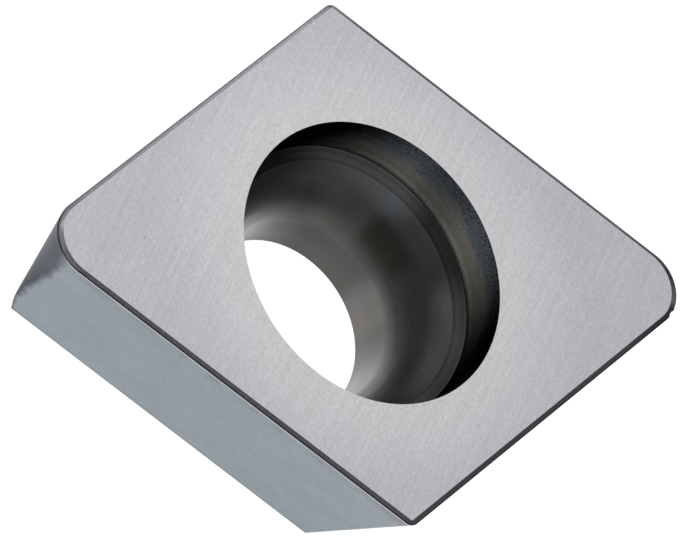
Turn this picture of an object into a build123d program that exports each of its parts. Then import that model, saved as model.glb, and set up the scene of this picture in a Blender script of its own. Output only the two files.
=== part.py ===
from build123d import *
import math
import os

# Rhombic indexable cutting insert, one piece of cemented carbide, pressed, sintered and ground.
# Origin: centre of the seat face, on the axis of the screw hole.
# +Z points out through the cutting face. +X runs along the long diagonal of the rhombus,
# towards one of the two rounded cutting corners.

# ---- driving sizes, in millimetres and degrees ----

# outline, taken at the sharp cutting edge
inscribed_circle = 7.94         # diameter of the circle that touches all four cutting edges
acute_corner_angle = 70.0       # angle between the edges at each cutting corner
nose_radius = 0.75              # rounding of the two acute cutting corners
blunt_corner_radius = 0.20      # rounding of the two blunt corners
seat_corner_radius = 0.05       # all four corners narrow to this at the seat
corner_stock = 0.30             # stock left outside the corners before they are ground

# section
thickness = 3.18                # seat face to cutting face
clearance_angle = 15.5          # flanks lean in by this much towards the seat
land_width = 0.09               # bevelled strip along the cutting edge, seen from above
land_drop = 0.04                # how far the cutting edge lies below the cutting face

# screw hole
recess_radius = 2.55            # straight wall of the screw-head recess
recess_lip_width = 0.05         # the mouth opens out by this much at the cutting face
recess_lip_depth = 0.12
recess_depth = 1.00             # cutting face to the outer edge of the ledge
witness_groove_depth = 0.02     # fine groove where the two pressing tools met
witness_groove_width = 0.025
ledge_width = 0.22              # ring-shaped step inside the recess
ledge_slope_angle = 24.0        # the ledge falls by this much towards the hole
screw_hole_radius = 1.65        # straight hole at the seat
screw_hole_length = 0.30        # above it the hole flares out to the ledge

# small chip broken out of the cutting edge, beside the nose at +X
chip_radius = 0.11
chip_bite = 0.04                # how far the chip reaches in from the edge
chip_turn_angle = 41.0          # its direction from the nose centre, turned from +X towards -Y

# ---- blank: a rhombus whose four flat flanks lean in towards the seat ----

half_corner = math.radians(acute_corner_angle / 2)
half_blunt_corner = math.pi / 2 - half_corner
lean = math.tan(math.radians(clearance_angle))
edge_distance = inscribed_circle / 2
edge_height = thickness - land_drop
seat_distance = edge_distance - edge_height * lean


def rhombus_corners(distance, height):
    """Four sharp corners of a rhombus whose edges lie at one distance from the hole axis."""
    half_length = distance / math.sin(half_corner)
    half_width = distance / math.cos(half_corner)
    return [
        (half_length, 0, height),
        (0, half_width, height),
        (-half_length, 0, height),
        (0, -half_width, height),
    ]


body = ConvexPolyhedron(
    rhombus_corners(seat_distance, 0) + rhombus_corners(edge_distance, edge_height)
)

# ---- corners: each ground to a cone that narrows to the seat ----


def stock_section(distance, radius, half_angle, height):
    """Area outside a rounded corner that faces +X, at one height."""
    center = (distance - radius) / math.sin(half_angle)
    tip = (distance + corner_stock) / math.sin(half_angle)
    side = Vector(math.sin(half_angle), math.cos(half_angle))
    near = Vector(center, 0) + side * radius
    far = near + side * corner_stock
    outer = Polyline((near.X, -near.Y), (far.X, -far.Y), (tip, 0), (far.X, far.Y), (near.X, near.Y))
    inner = ThreePointArc((near.X, near.Y), (center + radius, 0), (near.X, -near.Y))
    return Pos(0, 0, height) * make_face(outer + inner)


def ground_corner(radius, half_angle, turn):
    """Stock that the grinding wheel takes off one corner, from cutting edge to seat."""
    at_seat = stock_section(seat_distance, seat_corner_radius, half_angle, 0)
    at_edge = stock_section(edge_distance, radius, half_angle, edge_height)
    return Rot(0, 0, turn) * loft([at_seat, at_edge], ruled=True)


body -= ground_corner(nose_radius, half_corner, 0)
body -= ground_corner(nose_radius, half_corner, 180)
body -= ground_corner(blunt_corner_radius, half_blunt_corner, 90)
body -= ground_corner(blunt_corner_radius, half_blunt_corner, 270)

# ---- land: narrow bevel from the cutting edge up to the cutting face ----


def rounded_outline(inset, height):
    """Outline of the insert at the cutting edge, drawn in by the inset."""
    rhombus = Polygon(*rhombus_corners(edge_distance - inset, 0), align=None)
    along = rhombus.vertices().sort_by(Axis.X)
    outline = fillet([along[0], along[-1]], nose_radius - inset)
    across = outline.vertices().sort_by(Axis.Y)
    outline = fillet([across[0], across[-1]], blunt_corner_radius - inset)
    return Pos(0, 0, height) * outline


body += loft([rounded_outline(0, edge_height), rounded_outline(land_width, thickness)], ruled=True)

# ---- screw hole: head recess, ledge, flared seat and straight hole, turned as one profile ----

recess_floor = thickness - recess_depth
ledge_edge = recess_radius - ledge_width
flare_top = recess_floor - ledge_width * math.tan(math.radians(ledge_slope_angle))
flare_width = ledge_edge - screw_hole_radius
flare_height = flare_top - screw_hole_length
flare_radius = (flare_width**2 + flare_height**2) / (2 * flare_width)
flare_turn = math.asin(flare_height / flare_radius)
flare_middle = (
    screw_hole_radius + flare_radius * (1 - math.cos(flare_turn / 2)),
    screw_hole_length + flare_radius * math.sin(flare_turn / 2),
)

hole_outline = Polyline(
    (0, 0),
    (screw_hole_radius, 0),
    (screw_hole_radius, screw_hole_length),
)
hole_outline += ThreePointArc(
    (screw_hole_radius, screw_hole_length),
    flare_middle,
    (ledge_edge, flare_top),
)
hole_outline += Polyline(
    (ledge_edge, flare_top),
    (recess_radius, recess_floor),
    (recess_radius + witness_groove_depth, recess_floor + witness_groove_width / 2),
    (recess_radius, recess_floor + witness_groove_width),
    (recess_radius, thickness - recess_lip_depth),
    (recess_radius + recess_lip_width, thickness),
    (0, thickness),
    (0, 0),
)
hole = revolve(Plane.XZ * make_face(hole_outline), Axis.Z)
body -= hole

# ---- chip in the cutting edge ----

chip_direction = Vector(1, 0).rotate(Axis.Z, -chip_turn_angle)
nose_center = (edge_distance - nose_radius) / math.sin(half_corner)
chip_center = Vector(nose_center, 0) + chip_direction * (nose_radius + chip_radius - chip_bite)
body -= Pos(chip_center.X, chip_center.Y, edge_height) * Sphere(chip_radius)

os.makedirs("parts", exist_ok=True)
export_step(body, "parts/insert_body.step")
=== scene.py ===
import math

import bmesh
import bpy
from mathutils import Euler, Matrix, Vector, noise


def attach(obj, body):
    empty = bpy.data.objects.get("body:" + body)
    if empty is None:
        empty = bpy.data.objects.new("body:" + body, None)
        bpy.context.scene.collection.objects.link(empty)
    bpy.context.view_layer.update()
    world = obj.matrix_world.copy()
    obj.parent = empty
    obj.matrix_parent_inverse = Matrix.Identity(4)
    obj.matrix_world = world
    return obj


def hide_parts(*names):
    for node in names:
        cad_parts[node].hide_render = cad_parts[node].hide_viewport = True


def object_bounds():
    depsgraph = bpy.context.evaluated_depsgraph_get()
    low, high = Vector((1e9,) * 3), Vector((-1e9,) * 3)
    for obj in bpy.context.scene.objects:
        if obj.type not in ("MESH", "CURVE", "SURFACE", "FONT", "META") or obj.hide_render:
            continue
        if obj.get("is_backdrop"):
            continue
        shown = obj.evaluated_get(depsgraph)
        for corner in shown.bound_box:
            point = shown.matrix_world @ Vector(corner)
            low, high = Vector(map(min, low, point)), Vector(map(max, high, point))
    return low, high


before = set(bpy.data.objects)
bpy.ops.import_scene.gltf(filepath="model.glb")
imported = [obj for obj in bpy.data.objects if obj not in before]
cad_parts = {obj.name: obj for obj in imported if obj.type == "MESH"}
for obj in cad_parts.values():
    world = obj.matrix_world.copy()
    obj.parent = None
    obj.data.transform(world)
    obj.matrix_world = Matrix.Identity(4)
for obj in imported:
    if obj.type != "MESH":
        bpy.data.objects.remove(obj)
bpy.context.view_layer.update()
MM = 0.001

# ---- Flanks and corners ----------------------------------------------------------------------
# The insert is one piece of cemented carbide: tungsten carbide grains in a cobalt binder, pressed
# and sintered as a rhombic block. A wheel grinds the four flat flanks, which lean in towards the
# seat, and then rounds each corner to a cone. The two noses are darker than the flats, partly from
# their own grind and partly as a painted reflection of dark surroundings.

edge_distance = 3.97 * MM           # hole axis to each cutting edge
edge_height = 3.14 * MM             # seat to cutting edge
lean = math.tan(math.radians(15.5))     # how far a flank leans in for its height
half_corner = math.radians(35.0)    # half the angle between the edges at a nose
half_blunt = math.pi / 2 - half_corner
nose_radius = 0.75 * MM
blunt_radius = 0.20 * MM
tip_radius = 0.02 * MM              # left on a nose where its cone has run out
blunt_seat_radius = 0.05 * MM       # the blunt corners narrow evenly to this at the seat
hone_drop = 0.008 * MM              # the flank ends this far under the sharp edge
overrun = 0.15 * MM                 # the nose wheel ran this far onto the flats on the +Y side
off_nose = -1 * MM                  # marks what lies on no nose
nose_steps = 40                     # facets round each nose
blunt_steps = 12
edge_steps = 100                    # facets along each edge
flank_levels = 14
corners = (                         # direction, half angle, facets, from the +X nose on
    (0.0, half_corner, nose_steps),
    (math.pi / 2, half_blunt, blunt_steps),
    (math.pi, half_corner, nose_steps),
    (3 * math.pi / 2, half_blunt, blunt_steps),
)

flat_teal = (0.288, 0.341, 0.366)
flat_blue = (0.308, 0.336, 0.376)
glint_bright = (0.53, 0.53, 0.54)
nose_grind_and_dark_reflection = (0.058, 0.065, 0.076)
flank_sheen = (0.7, 0.7, 0.7, 1)

body = bpy.data.meshes.new("insert")
skin = bmesh.new()
nose_reach = skin.verts.layers.float.new("nose_reach")


def outline(distance, nose, blunt, height):
    """Points round the insert at one height, and how far each lies inside a rounded nose."""
    arcs = []
    for direction, half, steps in corners:
        radius = nose if half == half_corner else blunt
        center = (distance - radius) / math.sin(half)
        turn = math.pi / 2 - half
        arc = []
        for step in range(steps + 1):
            share = 2 * step / steps - 1
            angle = direction + turn * share
            x = center * math.cos(direction) + radius * math.cos(angle)
            y = center * math.sin(direction) + radius * math.sin(angle)
            past_start, past_end = radius * turn * (1 + share), radius * turn * (1 - share)
            if direction == 0:
                past_end += overrun
            else:
                past_start += overrun
            inside = min(past_start, past_end) if half == half_corner else off_nose
            arc.append((Vector((x, y, height)), inside))
        arcs.append(arc)
    points = []
    for arc, following in zip(arcs, arcs[1:] + arcs[:1]):
        start, end = arc[-1][0], following[0][0]
        points += arc
        first, last = arc[-1][1], following[0][1]
        for step in range(1, edge_steps):
            point = start.lerp(end, step / edge_steps)
            points.append((point, max(first - (point - start).length, last - (point - end).length)))
    return points


def ring(points):
    """One closed row of vertices."""
    row = []
    for point, inside in points:
        vert = skin.verts.new(point)
        vert[nose_reach] = inside / MM
        row.append(vert)
    return row


def join(lower, upper, finish):
    """Closes the band between two rows with four-sided faces that carry one finish."""
    for i in range(len(lower)):
        face = skin.faces.new((lower[i - 1], lower[i], upper[i], upper[i - 1]))
        face.material_index = finish
        face.smooth = True


def add(tree, kind, inputs=None, **settings):
    """Adds a node with its settings, and gives its inputs values or links."""
    node = tree.nodes.new("ShaderNode" + kind)
    for name, value in settings.items():
        setattr(node, name, value)
    for name, value in (inputs or {}).items():
        if isinstance(value, bpy.types.NodeSocket):
            tree.links.new(value, node.inputs[name])
        else:
            node.inputs[name].default_value = value
    return node


def marks(tree, sizes, turn=0.0, detail=2.0, offset=(0, 0, 0)):
    """Noise in patches of these real sizes in millimetres, turned about Z."""
    place = add(tree, "TexCoord").outputs["Object"]
    local = add(tree, "Mapping", {
        "Vector": place,
        "Location": [o * MM for o in offset],
        "Rotation": (0, 0, turn),
        "Scale": [size * MM for size in sizes],
    }, vector_type="TEXTURE")
    texture = add(tree, "TexNoise", {"Vector": local.outputs[0], "Scale": 1.0, "Detail": detail})
    return texture.outputs["Fac"]


def fit_range(tree, value, low, high, to_low=0.0, to_high=1.0, smooth=False):
    """Maps a value from one range to another, held at both ends."""
    node = add(tree, "MapRange", {
        "Value": value, "From Min": low, "From Max": high, "To Min": to_low, "To Max": to_high,
    }, interpolation_type="SMOOTHSTEP" if smooth else "LINEAR")
    return node.outputs[0]


def speckle(tree, noise_value, amount):
    """A factor round 1 that follows the noise, for making a colour uneven."""
    return fit_range(tree, noise_value, 0.2, 0.8, 1 - amount, 1 + amount)


def calc(tree, operation, first, second=0):
    """One sum with one or two values."""
    return add(tree, "Math", {0: first, 1: second}, operation=operation).outputs[0]


def product(tree, *factors):
    """Multiplies any number of values."""
    total = factors[0]
    for factor in factors[1:]:
        total = calc(tree, "MULTIPLY", total, factor)
    return total


def blend(tree, share, first, second):
    """Goes from the first colour to the second."""
    node = add(tree, "Mix", {0: share}, data_type="RGBA")
    for socket, color in ((node.inputs[6], first), (node.inputs[7], second)):
        if isinstance(color, bpy.types.NodeSocket):
            tree.links.new(color, socket)
        else:
            socket.default_value = (*color, 1)
    return node.outputs[2]


def mix(tree, share, first, second):
    """Goes from the first value to the second."""
    return add(tree, "Mix", {"Factor": share, "A": first, "B": second}).outputs[0]


def shade(tree, color, amount):
    """Makes a colour lighter or darker by a factor."""
    return add(tree, "VectorMath", {0: color, "Scale": amount}, operation="SCALE").outputs[0]


def position(tree):
    """X, Y and Z from the middle of the seat."""
    place = add(tree, "TexCoord").outputs["Object"]
    return add(tree, "SeparateXYZ", {0: place}).outputs


def carbide(name, metallic=1.0):
    """A bare metal finish, whose colour and marks are added next, and its number on the mesh."""
    material = bpy.data.materials.new(name)
    material.use_nodes = True
    material.node_tree.nodes["Principled BSDF"].inputs["Metallic"].default_value = metallic
    body.materials.append(material)
    return material.node_tree, len(body.materials) - 1


def dress(tree, color, roughness, relief=None, depth=0.0):
    """Plugs colour, roughness and surface relief, its depth in millimetres, into the metal."""
    metal = tree.nodes["Principled BSDF"]
    tree.links.new(color, metal.inputs["Base Color"])
    if isinstance(roughness, bpy.types.NodeSocket):
        tree.links.new(roughness, metal.inputs["Roughness"])
    else:
        metal.inputs["Roughness"].default_value = roughness
    if relief is not None:
        bump = add(tree, "Bump", {"Height": relief, "Distance": depth * MM, "Strength": 1.0})
        tree.links.new(bump.outputs[0], metal.inputs["Normal"])


tree, ground_flank = carbide("ground_flank")
x, _, z = position(tree)
lines = marks(tree, (2.5, 2.5, 0.022), detail=3.0)
specks = marks(tree, (0.045, 0.045, 0.04))
cloud = marks(tree, (0.9, 0.9, 0.5), detail=3.0)
stain = marks(tree, (0.45, 0.45, 0.30), detail=3.0, offset=(2, 0, 1))

# The border between flat and nose is ragged. It lies further onto the nose with height, and is
# crisp low down and soft under the edge.
reach = add(tree, "Attribute", attribute_name="nose_reach").outputs["Fac"]
feather = fit_range(tree, marks(tree, (0.35, 0.35, 0.04)), 0.3, 0.7, -0.022, 0.022)
wander = fit_range(tree, marks(tree, (0.3, 0.3, 0.3)), 0.3, 0.7, -0.035, 0.035)
ragged_reach = calc(tree, "ADD", calc(tree, "ADD", reach, feather), wander)
near_edge = fit_range(tree, z, 2.3 * MM, 3.1 * MM, smooth=True)
climb = fit_range(tree, z, 0.43 * MM, 2.4 * MM, 0.0, 0.15)
border = calc(tree, "ADD", climb, fit_range(tree, near_edge, 0, 1, 0.0, 0.14))
softness = fit_range(tree, near_edge, 0, 1, 0.08, 0.22)
past_border = calc(tree, "DIVIDE", calc(tree, "SUBTRACT", ragged_reach, border), softness)
nose_share = fit_range(tree, past_border, -1, 1, smooth=True)

# Fine grinding lines run along the flank, and blots lie under the edge. A bright hairline under the
# edge is a painted highlight, and a dark hairline along the seat, where it meets the floor, is painted
# shade.
blots = product(tree, fit_range(tree, stain, 0.46, 0.58), fit_range(tree, z, 2.80 * MM, 3.05 * MM))
grain = product(
    tree,
    fit_range(tree, x, -1.5 * MM, 0.5 * MM, 1.0, 0.94),
    speckle(tree, lines, 0.065),
    speckle(tree, specks, 0.15),
    speckle(tree, cloud, 0.055),
    fit_range(tree, blots, 0, 1, 1.0, 0.80),
    # painted shade along the seat, where it meets the floor
    fit_range(tree, z, 0.02 * MM, 0.05 * MM, 0.55, 1.0),
)
flat_color = blend(tree, fit_range(tree, stain, 0.38, 0.62, smooth=True), flat_teal, flat_blue)
# A painted highlight: the bright hairline just under the cutting edge.
painted_glint = fit_range(tree, z, 3.085 * MM, 3.10 * MM)
flat_color = blend(tree, painted_glint, shade(tree, flat_color, grain), glint_bright)

# Painted light and shade: the noses are lighter high up and darker low down, and lighter on the side whose
# surface faces +Y.
surface_normal = add(tree, "NewGeometry").outputs["Normal"]
toward_y = add(tree, "SeparateXYZ", {0: surface_normal}).outputs["Y"]
painted_light_high_on_nose = fit_range(tree, z, 1.2 * MM, 2.4 * MM, 1.0, 1.38)
nose_tone_and_painted_light = product(tree, grain, painted_light_high_on_nose, fit_range(tree, toward_y, -0.2, 0.45, 1.2, 1.6))
nose_color = shade(tree, nose_grind_and_dark_reflection, nose_tone_and_painted_light)
roughness = calc(tree, "ADD", fit_range(tree, lines, 0.2, 0.8, 0.31, 0.37),
                 fit_range(tree, nose_share, 0, 1, 0.0, 0.08))
dress(tree, blend(tree, nose_share, flat_color, nose_color), roughness, lines, 0.0006)
tree.nodes["Principled BSDF"].inputs["Specular Tint"].default_value = flank_sheen


def flank_ring(share, drop=0.0):
    """The outline at a share of the height from seat to cutting edge, less a small drop."""
    height = share * edge_height - drop
    inward = (edge_height - height) * lean
    blunt = blunt_seat_radius + (blunt_radius - blunt_seat_radius) * height / edge_height
    return ring(outline(edge_distance - inward, max(nose_radius - inward, tip_radius), blunt, height))


seat_edge = flank_ring(0.0)
band = seat_edge
for level in range(1, flank_levels + 1):
    next_band = flank_ring(level / flank_levels, hone_drop * level / flank_levels)
    join(band, next_band, ground_flank)
    band = next_band

# ---- Cutting edge and land -------------------------------------------------------------------
# A brush takes the burr off the sharp edge and leaves it rounded by a hair, with a painted highlight
# along +Y. The land is the narrow bevel from there up to the cutting face, ground in a second pass that
# ran wide round the noses. Painted light makes it brightest on its -X, +Y side, and painted shade
# darker all over its +X half.

land_width = 0.09 * MM
land_drop = 0.04 * MM
thickness = edge_height + land_drop
hone_width = 0.020 * MM
hone_shoulder = 0.2 * hone_width    # this far in, the rounding is level with the sharp edge
face_nose_radius = 0.70 * MM
face_blunt_radius = 0.05 * MM
land_shift = Vector((-0.012, 0.004, 0)) * MM     # the bevel came out widest on its -Y, +X side

edge_black = (0.020, 0.020, 0.023)
edge_dark = (0.045, 0.045, 0.048)
edge_painted_glint = (0.26, 0.26, 0.27)
land_gray = (0.39, 0.382, 0.415)

tree, honed_edge = carbide("honed_edge")
y = position(tree)["Y"]
wear = marks(tree, (0.3, 0.3, 0.3), detail=3.0)
color = blend(tree, fit_range(tree, wear, 0.35, 0.65), edge_black, edge_dark)
# A painted highlight along the +Y edges.
color = blend(tree, fit_range(tree, y, 0.25 * MM, 0.8 * MM, smooth=True), color, edge_painted_glint)
dress(tree, color, 0.3)

tree, ground_land = carbide("ground_land")
x, y, _ = position(tree)
fine = marks(tree, (0.06, 0.06, 0.02), detail=3.0)
runs = marks(tree, (1.2, 1.2, 0.05))
# Painted light and shade by side: lighter on the -X, +Y side, darker over the +X half.
near_side_painted_light = fit_range(tree, x, -0.5 * MM, 0.8 * MM, 1.0, 0.78)
far_side_painted_light = fit_range(tree, x, -0.6 * MM, 0.6 * MM, 1.68, 0.52)
painted_side_light = mix(tree, fit_range(tree, y, 0.45 * MM, 0.9 * MM), near_side_painted_light, far_side_painted_light)
# darker towards the +X nose
darker_toward_x_nose = fit_range(tree, x, 5.0 * MM, 6.1 * MM, 1.0, 0.50, smooth=True)
tone_and_painted_light = product(tree, speckle(tree, fine, 0.06), speckle(tree, runs, 0.08), painted_side_light, darker_toward_x_nose)
dress(tree, shade(tree, land_gray, tone_and_painted_light), fit_range(tree, fine, 0.2, 0.8, 0.18, 0.26), fine, 0.0001)


def inset_ring(inset, nose, blunt, height, shift=Vector((0, 0, 0))):
    """The outline drawn in from the cutting edge, with its own rounding at the corners."""
    points = outline(edge_distance - inset, nose, blunt, height)
    return ring([(point + shift, inside) for point, inside in points])


shoulder = inset_ring(hone_shoulder, nose_radius - hone_shoulder, blunt_radius - hone_shoulder, edge_height)
join(band, shoulder, honed_edge)
edge = inset_ring(hone_width, nose_radius - hone_width, blunt_radius - hone_width,
                  edge_height + hone_width * land_drop / land_width)
join(shoulder, edge, honed_edge)
face_edge = inset_ring(land_width, face_nose_radius, face_blunt_radius, thickness, land_shift)
join(edge, face_edge, ground_land)

# ---- Cutting face ----------------------------------------------------------------------------
# The top is ground flat last, in straight strokes that cross the rhombus at a slant. Traces of an
# earlier pass cross them, and fine pores show where grains tore out.

grinding_turn = math.radians(55.3)
earlier_turn = math.radians(64)     # the earlier pass ran at this angle to the strokes
scratch_turn = math.radians(1.5)    # and the deep scratches at this one
mouth_radius = 2.60 * MM
pore_spacing = 0.42 * MM
face_metallic = 0.6                 # a satin finish, which mirrors less than the flanks
face_gray = (0.565, 0.562, 0.576)
face_violet = (0.482, 0.465, 0.509)
bearings = [math.atan2(vert.co.y, vert.co.x) for vert in face_edge]


def hole_ring(radius, height):
    """A round row with a vertex for each one on the rim of the cutting face."""
    return ring([(Vector((radius * math.cos(b), radius * math.sin(b), height)), off_nose) for b in bearings])


def seen_from_above(tree):
    """Where a point lies from the hole's axis, whatever its height."""
    x, y, _ = position(tree)
    return add(tree, "CombineXYZ", {0: x, 1: y}).outputs[0]


def from_axis(tree):
    """How far a point lies from the hole's axis."""
    return add(tree, "VectorMath", {0: seen_from_above(tree)}, operation="LENGTH").outputs[1]


def ground_face(name, turn, near_color, far_color):
    """Straight grinding strokes with scratches and pores, and a colour that fades outwards."""
    tree, finish = carbide(name, face_metallic)
    broad = marks(tree, (3.0, 0.085, 1.0), turn, detail=3.0)
    thin = marks(tree, (1.4, 0.020, 1.0), turn, offset=(3, 1, 0))
    grit = marks(tree, (0.06, 0.028, 0.05), turn)
    cloud = marks(tree, (1.3, 1.0, 1.0), turn, detail=3.0)
    crossing = marks(tree, (0.8, 0.022, 1.0), turn + earlier_turn, offset=(2, 6, 0))
    deep = marks(tree, (3.5, 0.030, 1.0), turn + scratch_turn, detail=1.0, offset=(1, 5, 0))
    scratch = fit_range(tree, deep, 0.74, 0.80, 1.0, 0.88)

    place = add(tree, "TexCoord").outputs["Object"]
    cells = add(tree, "TexVoronoi", {"Vector": place, "Scale": 1 / pore_spacing})
    keep = add(tree, "SeparateColor", {0: cells.outputs["Color"]}).outputs[0]
    pore_size = fit_range(tree, keep, 0.72, 1.0, 0.0, 0.075)
    past_pore = calc(tree, "SUBTRACT", cells.outputs["Distance"], pore_size)
    pore = fit_range(tree, past_pore, -0.02, 0.015, 0.72, 1.0)

    x, y, _ = position(tree)
    across = calc(tree, "ADD", calc(tree, "MULTIPLY", x, 0.8), calc(tree, "MULTIPLY", y, -0.6))
    grain = product(
        tree,
        speckle(tree, broad, 0.05),
        speckle(tree, thin, 0.08),
        speckle(tree, grit, 0.135),
        speckle(tree, crossing, 0.045),
        speckle(tree, cloud, 0.03),
        scratch,
        pore,
        fit_range(tree, across, -5 * MM, 5.5 * MM, 1.045, 0.925),
    )
    uneven = fit_range(tree, cloud, 0.2, 0.8, -0.35 * MM, 0.35 * MM)
    radius = calc(tree, "ADD", from_axis(tree), uneven)
    outer = fit_range(tree, radius, 2.6 * MM, 4.6 * MM, smooth=True)
    color = shade(tree, blend(tree, outer, near_color, far_color), grain)
    relief = calc(tree, "ADD", calc(tree, "ADD", calc(tree, "MULTIPLY", broad, 1.6), thin), pore)
    dress(tree, color, fit_range(tree, thin, 0.2, 0.8, 0.30, 0.35), relief, 0.0006)
    return finish


cutting_face = ground_face("ground_face", grinding_turn, face_gray, face_violet)
mouth = hole_ring(mouth_radius, thickness)
join(face_edge, mouth, cutting_face)

# ---- Recess for the screw head ---------------------------------------------------------------
# The hole is pressed into the blank and never ground, so its skin is dark. The recess narrows by a
# hair from the mouth down. Its upper part is grainy and blue-black from the furnace, and a fine
# groove runs round the foot, where the two pressing punches met.

recess_radius = 2.55 * MM
recess_floor = 2.18 * MM
groove_width = 0.022 * MM
groove_depth = 0.012 * MM
groove_top = recess_floor + groove_width
wall_steps = 10

wall_tan = (0.130, 0.128, 0.113)
furnace_teal = (0.052, 0.068, 0.073)
furnace_blue = (0.058, 0.058, 0.067)
groove_shade_black = (0.02, 0.02, 0.02)
groove_shade_brown = (0.05, 0.05, 0.045)
wall_sheen = (0.45, 0.45, 0.45, 1)

# A patch of painted light or shade round the hole: its bearing, how far to each side it ends and how
# far it is full, all in degrees, and the factor outside and inside it.
painted_sheen_patch = (32, 75, 12, 0.03, 1.18)
facing_painted_sheen = (212, 92, 68, 0.03, 0.8)
painted_dull_dip = (38, 20, 3, 1.05, 0.62)


def around(tree, bearing, far, near, to_far, to_near):
    """Maps how many degrees round the hole a point lies from a bearing, between far and near."""
    outward = add(tree, "VectorMath", {0: seen_from_above(tree)}, operation="NORMALIZE").outputs[0]
    toward = (math.cos(math.radians(bearing)), math.sin(math.radians(bearing)), 0)
    cosine = add(tree, "VectorMath", {0: outward, 1: toward}, operation="DOT_PRODUCT").outputs[1]
    angle = calc(tree, "DEGREES", calc(tree, "ARCCOSINE", cosine))
    return fit_range(tree, angle, far, near, to_far, to_near, smooth=True)


# Painted reflection: the wall is pale in a painted sheen patch and in the one that faces it, and between
# them it darkens as painted shade nearly to black on both sides, with a narrow painted dull dip.
# It is also up to three times lighter towards its foot.
tree, pressed_wall = carbide("pressed_wall")
z = position(tree)["Z"]
streaks = marks(tree, (0.025, 0.025, 0.07), detail=3.0)
grains = marks(tree, (0.03, 0.03, 0.03), detail=3.0)
drift = fit_range(tree, marks(tree, (0.8, 0.8, 0.25), detail=3.0), 0.2, 0.8, -0.2 * MM, 0.2 * MM)
high = fit_range(tree, calc(tree, "ADD", z, drift), 2.55 * MM, 2.85 * MM, smooth=True)
furnace_bloom = blend(tree, marks(tree, (0.5, 0.5, 0.5)), furnace_teal, furnace_blue)
near_mouth = fit_range(tree, z, 2.7 * MM, 3.1 * MM, 0.3, 1.0)
rough_patch = product(tree, fit_range(tree, streaks, 0.42, 0.66), high, near_mouth)
tone_and_painted_light = product(
    tree,
    fit_range(tree, rough_patch, 0, 1, 1.0, 0.30),
    speckle(tree, grains, 0.46),
    calc(tree, "MAXIMUM", around(tree, *painted_sheen_patch), around(tree, *facing_painted_sheen)),
    around(tree, *painted_dull_dip),
    fit_range(tree, z, 2.20 * MM, 2.40 * MM, 3.0, 1.0),
)
color = shade(tree, blend(tree, high, wall_tan, furnace_bloom), tone_and_painted_light)
dress(tree, color, fit_range(tree, high, 0, 1, 0.42, 0.26), calc(tree, "ADD", streaks, grains), 0.0015)
tree.nodes["Principled BSDF"].inputs["Specular Tint"].default_value = wall_sheen

# The groove's near-black colour is painted shade in the crease where the punches met.
tree, pressing_groove = carbide("pressing_groove")
grains = marks(tree, (0.05, 0.05, 0.05), detail=3.0)
dress(tree, blend(tree, grains, groove_shade_black, groove_shade_brown), 0.5)


def hole_bands(profile, upper, finish):
    """Turns a run of (radius, height) points, going down the hole, into bands."""
    for radius, height in profile:
        lower = hole_ring(radius, height)
        join(upper, lower, finish)
        upper = lower
    return upper


wall_profile = []
for step in range(1, wall_steps + 1):
    share = step / wall_steps
    wall_profile.append((mouth_radius + (recess_radius - mouth_radius) * share,
                         thickness + (groove_top - thickness) * share))
rim = hole_bands(wall_profile, mouth, pressed_wall)
groove_profile = (
    (recess_radius + groove_depth, recess_floor + groove_width / 2),
    (recess_radius, recess_floor),
)
rim = hole_bands(groove_profile, rim, pressing_groove)

# ---- Ledge, flare and straight hole ----------------------------------------------------------
# Inside the recess a narrow ledge slopes to a bell-shaped flare, on which the screw's head pulls
# down, and a short straight hole opens at the seat. The punch was turned, and its rings show in the
# smooth skin, with faint marks of binder. Lighter and darker patches round the hole are painted light
# and shade, and one dark patch is a painted reflection of a dark object.

ledge_edge = 2.33 * MM
ledge_slope = math.radians(24)
ledge_drop = (recess_radius - ledge_edge) * math.tan(ledge_slope)
bore_radius = 1.65 * MM
bore_length = 0.30 * MM
flare_width = ledge_edge - bore_radius
flare_height = recess_floor - ledge_drop - bore_length
flare_radius = (flare_width**2 + flare_height**2) / (2 * flare_width)
flare_turn = math.asin(flare_height / flare_radius)
flare_steps = 28
bore_steps = 4

ledge_gray = (0.060, 0.060, 0.059)
ledge_blue = (0.076, 0.080, 0.082)
flare_gray = (0.178, 0.175, 0.165)
flare_blue = (0.160, 0.174, 0.182)
binder_brown = (0.185, 0.174, 0.160)
dark_reflection_brown = (0.092, 0.091, 0.077)

# Patches of painted light and shade on the ledge and flare, in the same columns as above.
ledge_painted_light = (
    (22, 27, 8, 1.05, 0.45),
    (71, 42, 13, 1.0, 2.9),
    (126, 55, 12, 1.0, 0.2),
    (-60, 45, 15, 1.0, 0.45),
)
flare_top_painted_light = (
    (23, 28, 11, 1.9, 0.68),
    (18, 95, 50, 0.3, 1.0),
)
flare_waist_painted_light = (63, 24, 9, 0.90, 1.40)
flare_foot_painted_light = (
    (32, 70, 23, 1.50, 0.60),
    (11, 22, 4, 1.0, 1.85),
    (84, 34, 6, 1.0, 0.46),
    (-45, 25, 5, 1.0, 1.25),
)
dark_reflection_patch = (34, 21, 9, 0, 1)


def patchwork(tree, patches):
    """Brings the patches of painted light and shade round the hole together in one factor."""
    return product(tree, *(around(tree, *patch) for patch in patches))


def rings(tree, width, amount):
    """Turned rings round the hole, copied from the punch: a factor round 1."""
    texture = add(tree, "TexNoise", {"W": from_axis(tree), "Scale": 1 / (width * MM), "Detail": 2.0},
                  noise_dimensions="1D")
    return speckle(tree, texture.outputs["Fac"], amount)


tree, pressed_ledge = carbide("pressed_ledge", 0.8)
grains = marks(tree, (0.04, 0.04, 0.04), detail=3.0)
color = blend(tree, marks(tree, (0.9, 0.9, 0.9)), ledge_gray, ledge_blue)
tone_and_painted_light = product(tree, speckle(tree, grains, 0.12), patchwork(tree, ledge_painted_light), rings(tree, 0.07, 0.25))
dress(tree, shade(tree, color, tone_and_painted_light), 0.34)

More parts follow.
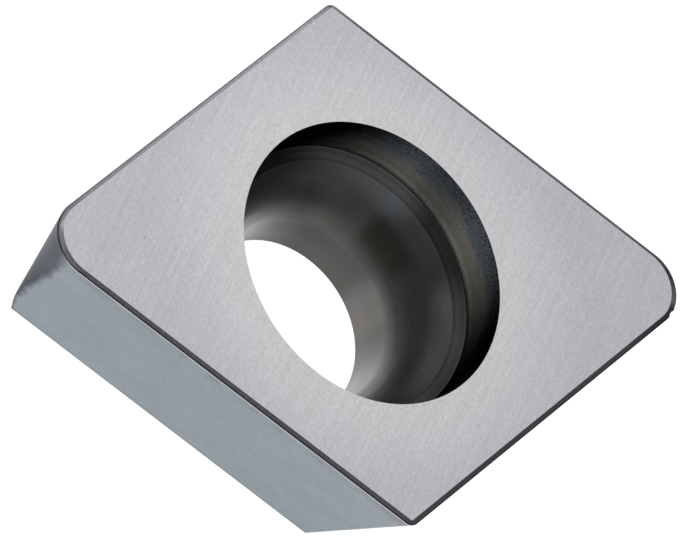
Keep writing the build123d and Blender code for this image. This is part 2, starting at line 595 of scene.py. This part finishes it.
tree, pressed_flare = carbide("pressed_flare", 0.7)
z = position(tree)["Z"]
stain = marks(tree, (1.3, 1.3, 0.7), detail=3.0, offset=(0.4, 0.9, 0))
warmth = marks(tree, (1.0, 1.0, 0.6), offset=(4, 2, 1))
mist = marks(tree, (0.03, 0.03, 0.03))
color = blend(tree, fit_range(tree, stain, 0.42, 0.62, smooth=True), flare_gray, flare_blue)
brown = product(tree, fit_range(tree, warmth, 0.45, 0.62, smooth=True),
                fit_range(tree, z, 1.6 * MM, 0.3 * MM))
color = blend(tree, brown, color, binder_brown)

# Painted light and shade: the flare's patches by bearing change from its top through its waist to its foot,
# and a painted shade belt darkens it between.
top = fit_range(tree, z, 1.60 * MM, 1.98 * MM, smooth=True)
foot = fit_range(tree, z, 1.25 * MM, 0.75 * MM, smooth=True)
painted_light_tint = mix(tree, top, around(tree, *flare_waist_painted_light), patchwork(tree, flare_top_painted_light))
painted_light_tint = mix(tree, foot, painted_light_tint, patchwork(tree, flare_foot_painted_light))
painted_shade_belt = product(tree, fit_range(tree, z, 1.30 * MM, 1.12 * MM, smooth=True),
               fit_range(tree, z, 0.80 * MM, 1.00 * MM, smooth=True))
painted_light_tint = calc(tree, "MULTIPLY", painted_light_tint, fit_range(tree, painted_shade_belt, 0, 1, 1.0, 0.72))

# A painted reflection of a dark object, as a dark patch on the far side of the flare.
dark_reflection = product(
    tree,
    around(tree, *dark_reflection_patch),
    fit_range(tree, z, 1.05 * MM, 1.28 * MM, smooth=True),
    fit_range(tree, z, 1.86 * MM, 1.60 * MM, smooth=True),
    fit_range(tree, warmth, 0.3, 0.5, 0.7, 1.0),
)
color = blend(tree, dark_reflection, shade(tree, color, painted_light_tint), dark_reflection_brown)
color = shade(tree, color, calc(tree, "MULTIPLY", speckle(tree, mist, 0.07), rings(tree, 0.05, 0.06)))
dress(tree, color, fit_range(tree, stain, 0.3, 0.7, 0.30, 0.38))

rim = hole_bands([(ledge_edge, recess_floor - ledge_drop)], rim, pressed_ledge)
flare_profile = []
for step in range(flare_steps - 1, -1, -1):
    turn = flare_turn * step / flare_steps
    flare_profile.append((bore_radius + flare_radius * (1 - math.cos(turn)),
                          bore_length + flare_radius * math.sin(turn)))
for step in range(bore_steps - 1, -1, -1):
    flare_profile.append((bore_radius, bore_length * step / bore_steps))
rim = hole_bands(flare_profile, rim, pressed_flare)

# ---- Seat ------------------------------------------------------------------------------------
# The underside is ground flat like the top, so that it beds on the holder's pocket. It closes the
# insert's skin, in which only the folds sharper than the facets of a rounding stay crisp.

seat_turn = math.radians(20)
seat_gray = (0.500, 0.499, 0.506)
seat_violet = (0.476, 0.466, 0.494)
crisp_from = math.radians(12)

ground_seat = ground_face("ground_seat", seat_turn, seat_gray, seat_violet)
join(rim, seat_edge, ground_seat)

skin.normal_update()
skin.to_mesh(body)
skin.free()
body.set_sharp_from_angle(angle=crisp_from)
insert = bpy.data.objects.new("insert", body)
bpy.context.scene.collection.objects.link(insert)

# ---- Chip ------------------------------------------------------------------------------------
# A crumb of carbide has broken out of the cutting edge beside the +X nose, and left a grainy,
# dark hollow.

chip_radius = 0.11 * MM
chip_bite = 0.04 * MM               # how far the hollow reaches in from the edge
chip_turn = math.radians(-41.0)
nose_center = (edge_distance - nose_radius) / math.sin(half_corner)
chip_reach = nose_radius + chip_radius - chip_bite
lump_size = 0.045 * MM
lump_height = 0.22                  # as a share of the chip's radius
tooth_size = 0.015 * MM
tooth_height = 0.08                 # as a share of it too
broken_dark = (0.03, 0.03, 0.035)
broken_gray = (0.14, 0.14, 0.15)

tree, broken = carbide("broken")
grains = marks(tree, (0.02, 0.02, 0.02), detail=4.0)
dress(tree, blend(tree, grains, broken_dark, broken_gray), 0.55, grains, 0.008)

crumb = bmesh.new()
bmesh.ops.create_icosphere(crumb, subdivisions=4, radius=chip_radius)
for vert in crumb.verts:
    lump = lump_height * noise.noise(vert.co / lump_size)
    tooth = tooth_height * noise.noise(vert.co / tooth_size)
    vert.co *= 1 + lump + tooth
for face in crumb.faces:
    face.material_index = broken
crumb_mesh = bpy.data.meshes.new("crumb")
crumb.to_mesh(crumb_mesh)
crumb.free()
for material in body.materials:
    crumb_mesh.materials.append(material)
crumb_tool = bpy.data.objects.new("crumb", crumb_mesh)
crumb_tool.location = (
    nose_center + chip_reach * math.cos(chip_turn), chip_reach * math.sin(chip_turn), edge_height)
bpy.context.scene.collection.objects.link(crumb_tool)
bite = insert.modifiers.new("chip", "BOOLEAN")
bite.operation = "DIFFERENCE"
bite.solver = "EXACT"
bite.object = crumb_tool
bpy.context.view_layer.update()
chipped = bpy.data.meshes.new_from_object(insert.evaluated_get(bpy.context.evaluated_depsgraph_get()))
insert.modifiers.clear()
insert.data = chipped
bpy.data.objects.remove(crumb_tool)

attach(insert, "root")
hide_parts("insert_body")

# ---- Floor and light -------------------------------------------------------------------------
# A pale sheet to stand the insert on, a large softbox over its far side, a weak one above the -X
# nose, a narrow lamp in front that shines down the hole, and a dim studio round it all.

floor_radius = 3.0
floor_facets = 96
floor_gap = 0.02 * MM               # keeps the sheet clear of the seat
floor_white = (0.8, 0.8, 0.8, 1)
floor_glow = 0.8                    # how pale the sheet looks, and how pale the metal mirrors it
studio_dim = (0.14, 0.14, 0.145, 1)

floor_mesh = bpy.data.meshes.new("floor")
shape = bmesh.new()
bmesh.ops.create_circle(shape, cap_ends=True, segments=floor_facets, radius=floor_radius)
shape.to_mesh(floor_mesh)
shape.free()
floor = bpy.data.objects.new("floor", floor_mesh)
floor.location.z = -floor_gap
bpy.context.scene.collection.objects.link(floor)
pale = bpy.data.materials.new("pale_floor")
pale.use_nodes = True
tree = pale.node_tree
tree.nodes.clear()
rays = add(tree, "LightPath").outputs
seen = calc(tree, "MAXIMUM", rays["Is Camera Ray"], rays["Is Glossy Ray"])
seen = calc(tree, "MAXIMUM", seen, rays["Is Transmission Ray"])
lit = add(tree, "BsdfDiffuse", {"Color": floor_white})
glow = add(tree, "Emission", {"Color": (1, 1, 1, 1), "Strength": calc(tree, "MULTIPLY", seen, floor_glow)})
both = add(tree, "AddShader", {0: lit.outputs[0], 1: glow.outputs[0]})
add(tree, "OutputMaterial", {"Surface": both.outputs[0]})
floor_mesh.materials.append(pale)
floor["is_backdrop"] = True

world = bpy.data.worlds.new("studio")
bpy.context.scene.world = world
world.use_nodes = True
world.node_tree.nodes["Background"].inputs["Color"].default_value = studio_dim


def softbox(name, azimuth, elevation, distance, size, radiance):
    """Hangs a soft lamp in one direction from the insert, with a given brightness of its front."""
    lamp = bpy.data.lights.new(name, "AREA")
    lamp.shape = "RECTANGLE"
    lamp.size, lamp.size_y = size
    lamp.energy = radiance * math.pi * size[0] * size[1]
    box = bpy.data.objects.new(name, lamp)
    a, e = math.radians(azimuth), math.radians(elevation)
    toward = Vector((math.cos(a) * math.cos(e), math.sin(a) * math.cos(e), math.sin(e)))
    box.location = toward * distance
    box.rotation_euler = toward.to_track_quat("Z", "Y").to_euler()
    box.visible_camera = False
    bpy.context.scene.collection.objects.link(box)


softbox("key_softbox", 45, 50, 0.16, (0.187, 0.135), 1.24)
softbox("nose_fill", 122, 66, 0.20, (0.10, 0.10), 0.26)
softbox("front_lamp", -150, 61, 0.20, (0.10, 0.056), 4.8)

camera_turns = (25.22977, -32.13809, -9.80345)     # degrees about X, Y and Z
lens = bpy.data.cameras.new("camera")
lens.lens = 772.586
lens.sensor_width = 36.0
camera = bpy.data.objects.new("camera", lens)
camera.location = (-0.1373208, -0.08463484, 0.19458663)
camera.rotation_euler = Euler([math.radians(t) for t in camera_turns], "XYZ")
bpy.context.scene.collection.objects.link(camera)
bpy.context.scene.camera = camera
bpy.context.scene.view_settings.view_transform = "Standard"

low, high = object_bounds()
